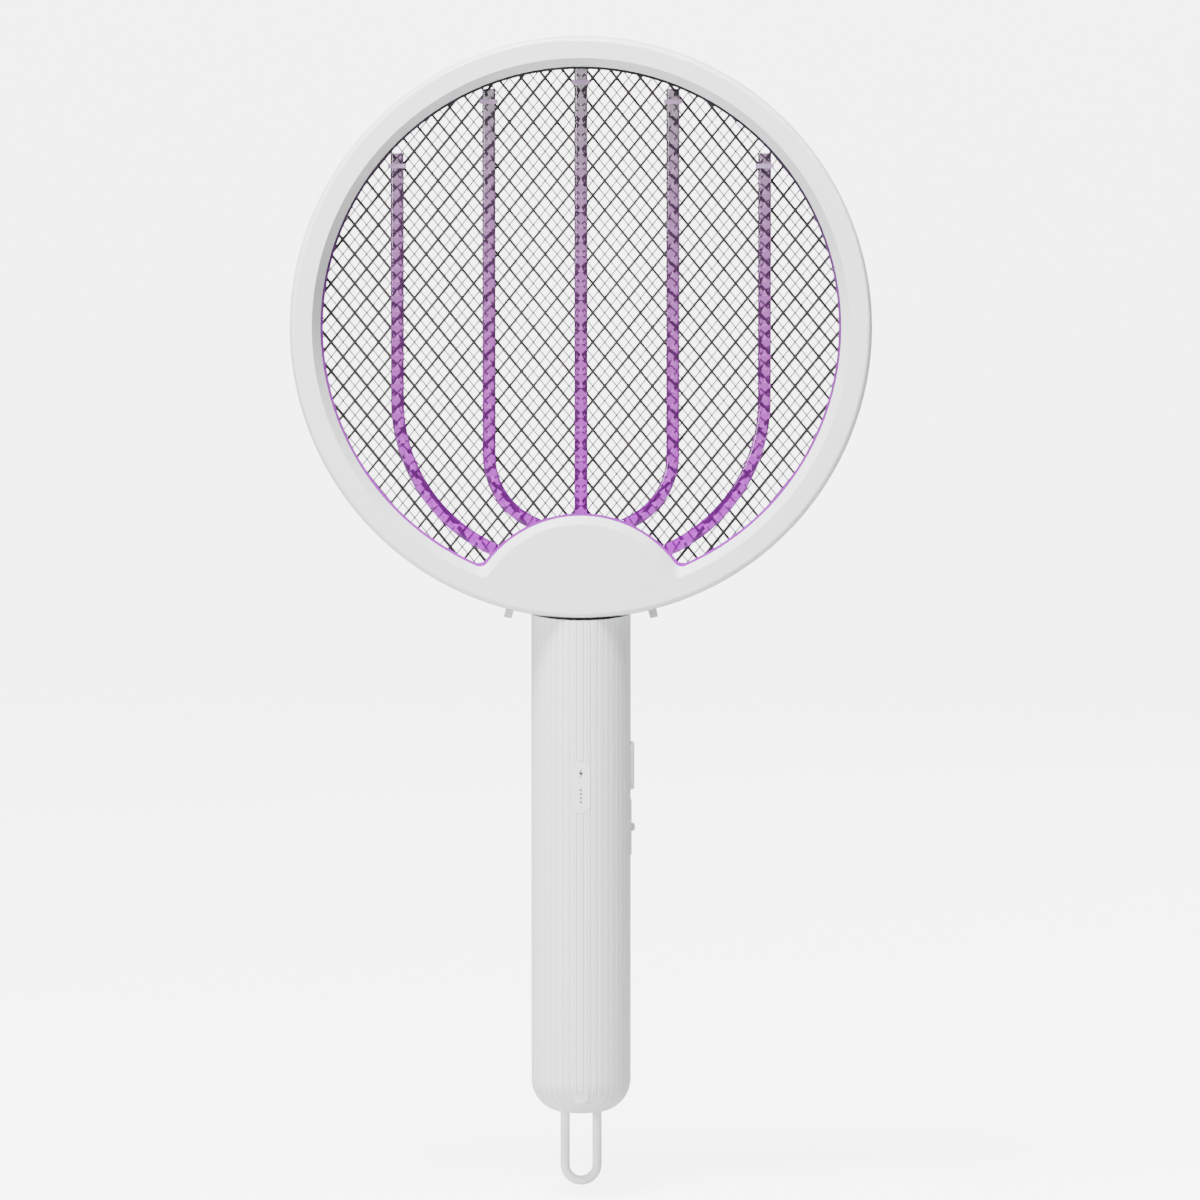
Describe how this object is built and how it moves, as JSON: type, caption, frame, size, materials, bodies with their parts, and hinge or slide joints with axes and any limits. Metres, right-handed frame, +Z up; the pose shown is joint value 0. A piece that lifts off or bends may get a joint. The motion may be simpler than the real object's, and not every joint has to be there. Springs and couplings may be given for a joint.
{
  "type": "electric fly swatter",
  "caption": "Handheld electric fly swatter: round three-layer zapper net with violet light guides on a folding hub, ribbed round handle, side button and slider, hanging loop.",
  "frame": {"origin": "under the middle of the object, level with the bottom of the hanging loop", "axes": "+Z up the handle to the head, -Y out of the front face, +X towards the button side"},
  "size_m": [0.235, 0.0404, 0.4668],
  "materials": {
    "bezel_white": "fine satin moulded plastic",
    "frame_white": "fine satin moulded plastic, a shade greyer",
    "handle_white": "satin moulded plastic with lengthwise ribs",
    "loop_white": "smooth flexible-grade plastic",
    "window_white": "smooth translucent white lens",
    "icon_dark": "printed icon inserts",
    "button_white": "satin moulded plastic",
    "slider_white": "satin moulded plastic",
    "foot_rubber": "soft light grey",
    "guard_wire": "drawn wire, welded",
    "net_wire": "fine drawn wire",
    "spacer_plastic": "plain insulating plastic",
    "clip_plastic": "translucent plastic",
    "board_laminate": "solder-masked laminate",
    "screw_steel": "zinc plated",
    "pin_steel": "ground and plated",
    "light_pipe_clear": "clear acrylic",
    "switch_black": "moulded black",
    "switch_metal": "pressed sheet",
    "capacitor_red": "dipped film capacitor",
    "transformer_core": "ferrite and tape",
    "battery_sleeve": "shrink sleeve",
    "cradle_black": "moulded black",
    "contact_nickel": "nickel plated strip",
    "light_guide_clear": "clear acrylic lit violet from the hub",
    "lamp_lens": "clear epoxy"
  },
  "bodies": {
    "handle": {"handle_front_shell": "handle_white", "handle_rear_shell": "handle_white", "handle_screws": "screw_steel", "hanging_loop": "loop_white", "indicator_window": "window_white", "indicator_icons": "icon_dark", "indicator_light_pipes": "light_pipe_clear", "indicator_leds": "lamp_lens", "tact_switch": "switch_black", "slider_plate": "slider_white", "slide_switch_body": "switch_metal", "circuit_board": "board_laminate", "high_voltage_capacitor": "capacitor_red", "controller_chip": "switch_black", "step_up_transformer": "transformer_core", "rectifier_diodes": "switch_black", "board_screws": "screw_steel", "usb_c_socket": "switch_metal", "battery_cell": "battery_sleeve", "battery_cradle": "cradle_black", "battery_contact_negative": "contact_nickel", "battery_contact_positive": "contact_nickel"},
    "head": {"front_bezel": "bezel_white", "rear_frame": "frame_white", "rear_hub_cover": "frame_white", "rim_screws": "screw_steel", "hub_screws": "screw_steel", "standing_foot_left": "foot_rubber", "standing_foot_right": "foot_rubber", "front_guard_grid": "guard_wire", "rear_guard_grid": "guard_wire", "high_voltage_net": "net_wire", "front_spacer_ring": "spacer_plastic", "rear_spacer_ring": "spacer_plastic", "light_ring": "light_guide_clear", "light_guide_centre": "light_guide_clear", "light_guide_outer_left": "light_guide_clear", "light_guide_inner_left": "light_guide_clear", "light_guide_inner_right": "light_guide_clear", "light_guide_outer_right": "light_guide_clear", "light_guide_clips": "clip_plastic", "lamp_board": "board_laminate", "uv_lamps": "lamp_lens", "hinge_pin": "pin_steel", "hinge_clip": "pin_steel", "hinge_washers": "pin_steel"},
    "button": {"trigger_button": "button_white", "switch_plunger": "switch_black"},
    "slider": {"mode_slider": "slider_white"}
  },
  "joints": [
    {"name": "head_fold", "type": "hinge", "parent": "handle", "child": "head", "pos_m": [0, 0.006, 0.258], "axis": [1, 0, 0], "range_deg": [-90, 0]},
    {"name": "trigger_press", "type": "slide", "parent": "handle", "child": "button", "axis": [-1, 0, 0], "range_m": [0, 0.0012], "stiffness_N_per_m": 1500, "springref_m": -0.0008},
    {"name": "mode_select", "type": "slide", "parent": "handle", "child": "slider", "axis": [0, 0, 1], "range_m": [-0.004, 0.004]}
  ]
}
